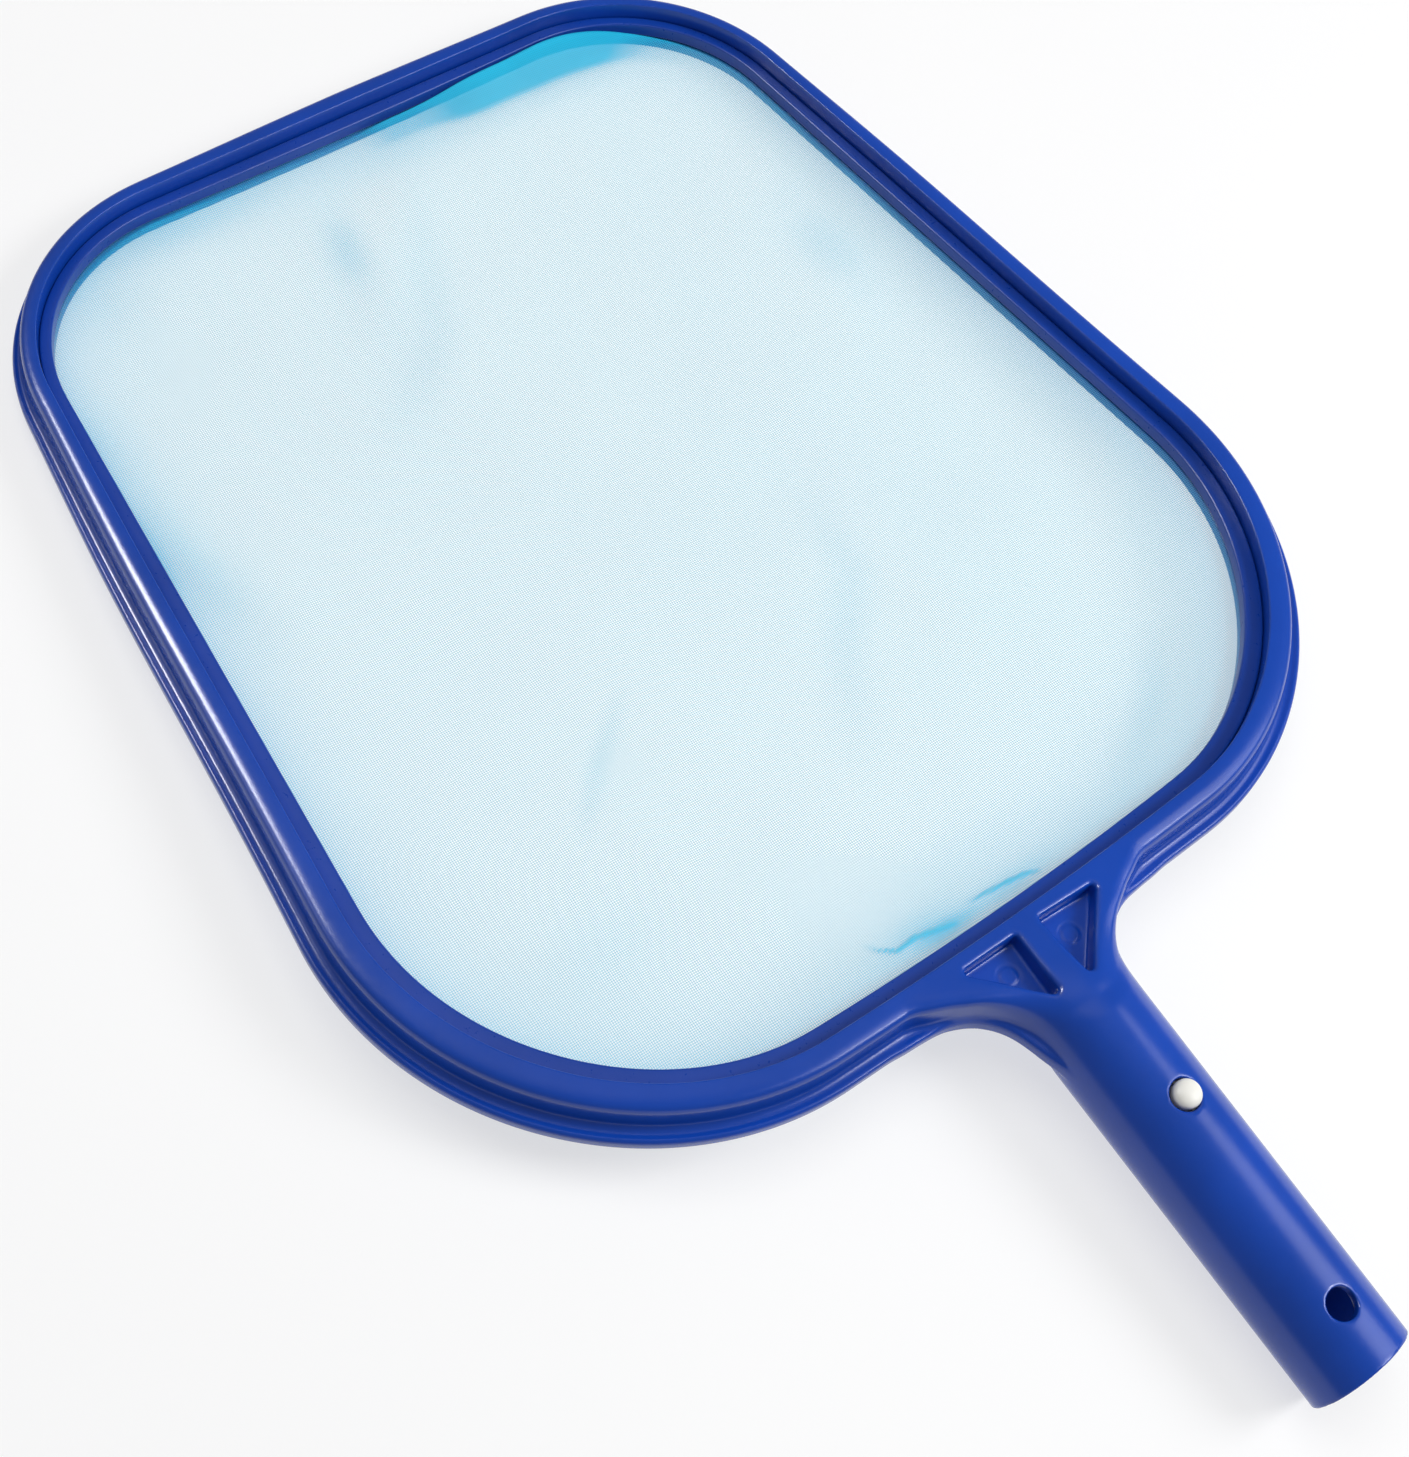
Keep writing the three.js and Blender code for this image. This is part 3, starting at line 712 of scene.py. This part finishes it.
def cloth(x, y, d, s):
    """Height of the cloth above its held edge, and how bunched it is there, with painted shade added near the held
    edge.
    """
    reach = np.clip(d / 116.0, 0, 1)
    z = -5.2 * (1 - (1 - reach) ** 2.0)
    inner = step(0, 26, d)
    for a, b, ph, amp in WAVES:
        z = z + amp * inner * np.sin(a * x * 2.2 + b * y * 2.2 + ph)
    dense_and_edge_shade = np.zeros_like(x)
    for a, b, w, amp in FOLDS:
        dd, at = line_distance(x, y, [a, b])
        z = z + amp * np.exp(-(dd / w) ** 2) * step(0, 8, d)
    for pts, w, amp in CREASES:
        dd, at = line_distance(x, y, pts)
        fade = np.sin(np.pi * np.clip(at, 0.02, 0.98)) ** 0.5
        z = z + amp * fade * np.exp(-(dd / (w * 1.5)) ** 2)
        dense_and_edge_shade = dense_and_edge_shade + 0.70 * fade * np.exp(-(dd / w) ** 2)
    for px, py, sx, sy, amount in PATCHES:
        dense_and_edge_shade = dense_and_edge_shade + 0.8 * amount * np.exp(-((x - px) / sx) ** 2 - ((y - py) / sy) ** 2)
    for pts, w, amount in STREAKS:
        dd, at = line_distance(x, y, pts)
        fade = np.sin(np.pi * np.clip(0.08 + 0.84 * at, 0, 1))
        dense_and_edge_shade = dense_and_edge_shade + amount * fade * np.exp(-(dd / w) ** 2)
    up = around(s, SLACK)
    rise = step(0.0, 1.3, d) * np.exp(-np.maximum(d - 1.3, 0) / (3.0 + 1.8 * up))
    z = z + up * rise
    full = np.clip((up - 1.3) / 3.0, 0, 1)
    dense_and_edge_shade = dense_and_edge_shade + full * 0.85 * (1 - step(3.5 + 1.0 * up, 6.0 + 1.3 * up, d)) + np.clip(up / 3.0, 0, 1) * 0.3 * np.exp(-(d / 2.2) ** 2)
    # painted shade: the cloth is made deeper in colour and denser near the held edge, standing in for the rim's shade
    # and the blue seat behind it, not extra cloth
    dense_and_edge_shade = dense_and_edge_shade + 0.34 * np.exp(-np.maximum(d, 0) / 3.4) + 0.13 * np.exp(-((np.maximum(d, 0) / 15) ** 2))
    return z, np.clip(dense_and_edge_shade, 0, 1)


verts, bunch_and_edge_shade = [], []
for d in rows_d:
    if d <= 0:
        p = offset_point(sN, -d)
        verts.append(np.column_stack([p, np.full(NET_N, EDGE_Z)]))
        bunch_and_edge_shade.append(np.full(NET_N, 0.3))
    else:
        p = edge + (centre - edge) * (d / 118.0)
        ln = np.linalg.norm(centre - edge, axis=1) * (d / 118.0)
        z, dn = cloth(p[:, 0], p[:, 1], np.full(NET_N, d), sN)
        verts.append(np.column_stack([p, EDGE_Z + z]))
        bunch_and_edge_shade.append(dn)
nv = np.concatenate(verts)
nf = grid_faces(len(rows_d), NET_N, close_n=False)
mid = len(nv)
nv = np.concatenate([nv, [[0, CY, nv[-NET_N:, 2].mean()]]])
bunch_and_edge_shade = np.concatenate(bunch_and_edge_shade + [[0.0]])
last = (len(rows_d) - 1) * NET_N
nf += [[last + j, last + (j + 1) % NET_N, mid] for j in range(NET_N)]
net = mesh_object("net_cloth", nv, nf)
# this attribute carries real bunching of the cloth and the painted shade near the held edge
att = net.data.attributes.new("bunch_and_edge_shade", "FLOAT", "POINT")
att.data.foreach_set("value", bunch_and_edge_shade.astype(np.float32))
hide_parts("net_panel")
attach(net, "frame")
# the cloth is one flat cut, clamped 3.9 mm outside the opening, with a little slack
cut = offset_point(sN, 3.9) * 0.001


# ---------------------------------------------------------- snap-button clip
def in_handle(p):
    """From (across, along the axis, up) to design coordinates."""
    p = np.asarray(p, float)
    return REF + p[:, :1] * [1, 0, 0] + p[:, 1:2] * AY + p[:, 2:3] * AZ


def rounded_rect(w, t, r, k=4):
    pts = []
    for cx, cz, a0 in ((w / 2 - r, t / 2 - r, 0), (-w / 2 + r, t / 2 - r, 90), (-w / 2 + r, -t / 2 + r, 180), (w / 2 - r, -t / 2 + r, 270)):
        for i in range(k + 1):
            a = math.radians(a0 + 90 * i / k)
            pts.append([cx + r * math.cos(a), cz + r * math.sin(a)])
    return np.array(pts)


def strap(name, line, closed_ends=True, w=9.0, t=1.8):
    """A flat strap of rounded section along a line of (along, up) points."""
    line = np.array(line, float)
    tan = np.gradient(line, axis=0)
    tan /= np.linalg.norm(tan, axis=1)[:, None]
    nrm = np.stack([-tan[:, 1], tan[:, 0]], 1)
    sec = rounded_rect(w, t, 0.45)
    V = []
    for p, n in zip(line, nrm):
        q = np.column_stack([sec[:, 0], p[0] + sec[:, 1] * n[0], p[1] + sec[:, 1] * n[1]])
        V.append(q)
    V = np.concatenate(V)
    m = len(sec)
    F = grid_faces(len(line), m, close_n=False)
    F.append(list(range(m))[::-1])
    F.append([(len(line) - 1) * m + j for j in range(m)])
    return in_handle(V), F


def bezier(a, b, c, d, n):
    t = np.linspace(0, 1, n)[:, None]
    a, b, c, d = map(np.array, (a, b, c, d))
    return a * (1 - t) ** 3 + 3 * b * t * (1 - t) ** 2 + 3 * c * t * t * (1 - t) + d * t ** 3


arm = np.concatenate([bezier((12.6, 2.4), (7.6, 2.7), (0.0, 7.0), (-6.8, 9.05), 26), [[-8.4, 9.5], [-9.6, 9.6], [-12, 9.6], [-15, 9.6], [-18, 9.6]]])
ang = np.linspace(-90, 90, 22)
bend_line = np.stack([12.6 + 2.4 * np.cos(np.radians(ang)), 2.4 * np.sin(np.radians(ang))], 1)
for name, line, node in (("clip_bend", bend_line, "snap_clip_bend"), ("clip_arm_upper", arm, "snap_clip_arm_upper"),
                         ("clip_arm_lower", arm * [1, -1], "snap_clip_arm_lower")):
    V, F = strap(name, line)
    ob = mesh_object(name, V, F)
    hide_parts(node)
    if node == "snap_clip_bend":
        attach(ob, "frame")
    else:
        side = 1 if "upper" in node else -1
        a = to_row(in_handle([[0, 10.5, side * 2.4]]))[0]
        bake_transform(ob)
for side, node, body in ((1, "snap_button_upper", "upper_button"), (-1, "snap_button_lower", "lower_button")):
    prof = [[0.0, 10.0], [3.1, 10.0], [3.55, 10.4], [3.55, 15.3]]
    for i in range(1, 13):
        a = math.pi / 2 * i / 12
        prof.append([3.55 * math.cos(a) ** 0.9 if i < 12 else 0.0, 15.3 + 2.15 * math.sin(a)])
    prof = np.array(prof)
    n = 64
    V = []
    for r, h in prof:
        k = n
        t = np.arange(k) / k * 2 * math.pi
        V.append(np.column_stack([BUTTON_X + BUTTON_AT[0] + 1.055 * r * np.cos(t), V_BUTTON + BUTTON_V + BUTTON_AT[1] + 1.055 * r * np.sin(t), np.full(k, side * h)]))
    V = np.concatenate(V)
    F = grid_faces(len(prof), n, close_n=False)
    ob = mesh_object("button_" + ("upper" if side > 0 else "lower"), in_handle(V), F)
    bm = bmesh.new()
    bm.from_mesh(ob.data)
    bmesh.ops.remove_doubles(bm, verts=bm.verts[:], dist=1e-6)
    bmesh.ops.recalc_face_normals(bm, faces=bm.faces[:])
    bm.to_mesh(ob.data)
    bm.free()
    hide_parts(node)
    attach(ob, body)


# ---------------------------------------------------------------- materials
def new_material(name):
    m = bpy.data.materials.new(name)
    m.use_nodes = True
    nt = m.node_tree
    nt.nodes.clear()
    out = nt.nodes.new("ShaderNodeOutputMaterial")
    bs = nt.nodes.new("ShaderNodeBsdfPrincipled")
    nt.links.new(bs.outputs[0], out.inputs["Surface"])
    return m, nt, bs, out


def node(nt, kind, **kw):
    n = nt.nodes.new(kind)
    for k, v in kw.items():
        if k.startswith("in_"):
            n.inputs[k[3:].replace("_", " ")].default_value = v
        else:
            setattr(n, k, v)
    return n


def ramp(nt, src, stops):
    r = nt.nodes.new("ShaderNodeValToRGB")
    els = r.color_ramp.elements
    while len(els) < len(stops):
        els.new(0.5)
    for e, (p, c) in zip(els, stops):
        e.position = p
        e.color = c if hasattr(c, "__len__") else (c, c, c, 1)
    nt.links.new(src, r.inputs[0])
    return r.outputs[0]


def plastic(name, colour, rough, spread=0.06, peel=0.05):
    m, nt, bs, out = new_material(name)
    tc = node(nt, "ShaderNodeTexCoord")
    big = node(nt, "ShaderNodeTexNoise", in_Scale=26.0, in_Detail=3.0, in_Roughness=0.55)
    fine = node(nt, "ShaderNodeTexNoise", in_Scale=620.0, in_Detail=4.0, in_Roughness=0.6)
    grain = node(nt, "ShaderNodeTexNoise", in_Scale=2600.0, in_Detail=2.0, in_Roughness=0.5)
    for n in (big, fine, grain):
        nt.links.new(tc.outputs["Object"], n.inputs["Vector"])
    lo = tuple(c * (1 - spread) for c in colour) + (1,)
    hi = tuple(min(1, c * (1 + spread)) for c in colour) + (1,)
    nt.links.new(ramp(nt, big.outputs[0], [(0.3, lo), (0.7, hi)]), bs.inputs["Base Color"])
    nt.links.new(ramp(nt, fine.outputs[0], [(0.25, rough * 0.86), (0.75, rough * 1.16)]), bs.inputs["Roughness"])
    b1 = node(nt, "ShaderNodeBump", in_Strength=peel, in_Distance=0.0004)
    b2 = node(nt, "ShaderNodeBump", in_Strength=peel * 0.8, in_Distance=0.0001)
    nt.links.new(fine.outputs[0], b1.inputs["Height"])
    nt.links.new(grain.outputs[0], b2.inputs["Height"])
    nt.links.new(b1.outputs[0], b2.inputs["Normal"])
    nt.links.new(b2.outputs[0], bs.inputs["Normal"])
    bs.inputs["IOR"].default_value = 1.49
    return m


blue = plastic("blue_moulded_plastic", (0.0035, 0.0510, 0.372), 0.235, 0.10)
blue2 = plastic("blue_clamp_plastic", (0.0035, 0.0430, 0.315), 0.30, 0.10, 0.015)
nylon = plastic("white_nylon", (0.80, 0.79, 0.74), 0.42, 0.03)


def net_material():
    m, nt, bs, out = new_material("fine_mesh_cloth")
    tc = node(nt, "ShaderNodeTexCoord")
    mp = node(nt, "ShaderNodeMapping")
    mp.inputs["Rotation"].default_value = (0, 0, math.radians(3))
    sway = node(nt, "ShaderNodeTexNoise", in_Scale=9.0, in_Detail=1.0)
    nt.links.new(tc.outputs["Object"], sway.inputs["Vector"])
    bend = node(nt, "ShaderNodeVectorMath", operation="MULTIPLY_ADD")
    bend.inputs[1].default_value = (0.006, 0.006, 0.0)
    nt.links.new(sway.outputs["Color"], bend.inputs[0])
    nt.links.new(tc.outputs["Object"], bend.inputs[2])
    nt.links.new(bend.outputs[0], mp.inputs["Vector"])
    k = 2 * math.pi / 0.00062

    def threads(axis):
        w = node(nt, "ShaderNodeTexWave", wave_type="BANDS", bands_direction=axis, wave_profile="SIN", in_Scale=k / 20.0, in_Distortion=0.0)
        nt.links.new(mp.outputs[0], w.inputs["Vector"])
        return w.outputs["Fac"]

    tx, ty = threads("X"), threads("Y")
    mx = node(nt, "ShaderNodeMath", operation="MAXIMUM")
    nt.links.new(tx, mx.inputs[0])
    nt.links.new(ty, mx.inputs[1])
    # the bunch attribute carries real bunching of the cloth and painted shade near the held edge; it thickens the
    # threads and deepens the colour
    at = node(nt, "ShaderNodeAttribute", attribute_name="bunch_and_edge_shade")
    thin = ramp(nt, at.outputs["Fac"], [(0.0, 0.90), (0.5, 0.80), (1.0, 0.45)])
    lo = node(nt, "ShaderNodeMath", operation="SUBTRACT")
    lo.inputs[1].default_value = 0.1
    hi = node(nt, "ShaderNodeMath", operation="ADD")
    hi.inputs[1].default_value = 0.1
    for q in (lo, hi):
        nt.links.new(thin, q.inputs[0])
    mr = node(nt, "ShaderNodeMapRange")
    nt.links.new(ramp(nt, at.outputs["Fac"], [(0.0, 0.155), (0.5, 0.30), (1.0, 0.74)]), mr.inputs["To Min"])
    nt.links.new(ramp(nt, at.outputs["Fac"], [(0.0, 0.55), (0.5, 0.70), (1.0, 0.95)]), mr.inputs["To Max"])
    nt.links.new(mx.outputs[0], mr.inputs["Value"])
    nt.links.new(lo.outputs[0], mr.inputs["From Min"])
    nt.links.new(hi.outputs[0], mr.inputs["From Max"])
    nt.links.new(mr.outputs[0], bs.inputs["Alpha"])
    mixc = node(nt, "ShaderNodeMix", data_type="RGBA")
    tone = node(nt, "ShaderNodeTexNoise", in_Scale=22.0, in_Detail=3.0)
    nt.links.new(tc.outputs["Object"], tone.inputs["Vector"])
    nt.links.new(ramp(nt, tone.outputs[0], [(0.35, (0.24, 0.66, 0.82, 1)), (0.65, (0.20, 0.63, 0.80, 1))]), mixc.inputs[6])
    deep = ramp(nt, tone.outputs[0], [(0.35, (0.012, 0.49, 0.74, 1)), (0.65, (0.006, 0.44, 0.69, 1))])
    nt.links.new(deep, mixc.inputs[7])
    nt.links.new(ramp(nt, at.outputs["Fac"], [(0.0, 0.0), (0.6, 1.0)]), mixc.inputs[0])
    nt.links.new(mixc.outputs[2], bs.inputs["Base Color"])
    bs.inputs["Roughness"].default_value = 0.6
    bs.inputs["Specular IOR Level"].default_value = 0.25
    return m


for ob, mat in ((moulding, blue), (clamp, blue2), (net, net_material())):
    ob.data.materials.append(mat)
for name in ("clip_bend", "clip_arm_upper", "clip_arm_lower", "button_upper", "button_lower"):
    bpy.data.objects[name].data.materials.append(nylon)

# -------------------------------------------------------------------- stage
scene = bpy.context.scene
scene.view_settings.view_transform = "Standard"
scene.view_settings.look = "None"

# the part lies on the floor on the lip of its handle end and its leading edge
y0, z0, y1, z1 = -0.2316, 0.0, 0.233, 0.0229
tilt = math.atan2(z1 - z0, y1 - y0)
fl = bpy.data.meshes.new("floor")
S = 6.0
c, s_ = math.cos(tilt), math.sin(tilt)
fl.from_pydata([(x, y * c, y * s_) for x, y in ((-S, -S), (S, -S), (S, S), (-S, S))], [], [(0, 1, 2, 3)])
floor = bpy.data.objects.new("floor", fl)
floor.location = (0, 0, z0 - y0 * math.tan(tilt) - 0.0004)
scene.collection.objects.link(floor)
fm, nt, bs, out = new_material("floor_paper")
bs.inputs["Roughness"].default_value = 0.8
ntc = node(nt, "ShaderNodeTexCoord")
nn = node(nt, "ShaderNodeTexNoise", in_Scale=3.0, in_Detail=2.0)
nt.links.new(ntc.outputs["Object"], nn.inputs["Vector"])
nt.links.new(ramp(nt, nn.outputs[0], [(0.3, (0.29, 0.29, 0.293, 1)), (0.7, (0.31, 0.31, 0.31, 1))]), bs.inputs["Base Color"])
bs.inputs["Emission Color"].default_value = (1, 1, 1, 1)
bs.inputs["Emission Strength"].default_value = 0.64
fl.materials.append(fm)

world = bpy.data.worlds.new("soft_white")
scene.world = world
world.use_nodes = True
world.node_tree.nodes["Background"].inputs[0].default_value = (0.97, 0.98, 1.0, 1)
world.node_tree.nodes["Background"].inputs[1].default_value = 0.22


def area_light(name, at, target, size, power, shine=True, wash=True):
    """A soft box. shine: it shows in reflections. wash: it lights the matt colour."""
    li = bpy.data.lights.new(name, "AREA")
    li.shape = "RECTANGLE"
    li.size, li.size_y = size
    li.energy = power
    ob = bpy.data.objects.new(name, li)
    ob.location = at
    d = Vector(target) - Vector(at)
    ob.rotation_euler = d.to_track_quat("-Z", "Y").to_euler()
    ob.visible_glossy, ob.visible_diffuse = shine, wash
    scene.collection.objects.link(ob)
    return ob


area_light("key", (0.78, -0.62, 0.86), (0, -0.02, 0), (0.5, 0.5), 12.0, shine=False)
area_light("overhead", (0.0, 0.25, 1.35), (0, 0, 0), (0.9, 0.9), 8.0, shine=False)
area_light("key_shine", (0.70, -0.75, 0.92), (0, -0.04, 0), (1.0, 1.0), 8.5, wash=False)
area_light("front_shine", (0.54, -0.92, 0.86), (0, -0.1, 0), (0.34, 0.34), 5.0, wash=False)
area_light("back_left_shine", (-0.55, 0.80, 1.05), (0, 0, 0), (0.36, 0.36), 15.0, wash=False)
area_light("left_shine", (-1.0, 0.74, 0.62), (0, 0, 0), (0.6, 0.55), 2.0, wash=False)

# ------------------------------------------------------------------- camera
cam_data = bpy.data.cameras.new("camera")
cam = bpy.data.objects.new("camera", cam_data)
scene.collection.objects.link(cam)
X = Vector((0.7958, -0.5954, 0.1105))
Z = Vector((-0.3599, -0.3182, 0.8771))
Z.normalize()
X = (X - Z * X.dot(Z)).normalized()
Y = Z.cross(X)
cam.matrix_world = Matrix(((X.x, Y.x, Z.x, -0.22533), (X.y, Y.y, Z.y, -0.178455), (X.z, Y.z, Z.z, 0.494295), (0, 0, 0, 1)))
cam_data.sensor_fit = "AUTO"
cam_data.sensor_width = 36.0
cam_data.lens = 1998.23 * 36.0 / 1457.0
cam_data.clip_start, cam_data.clip_end = 0.01, 50.0
scene.camera = cam
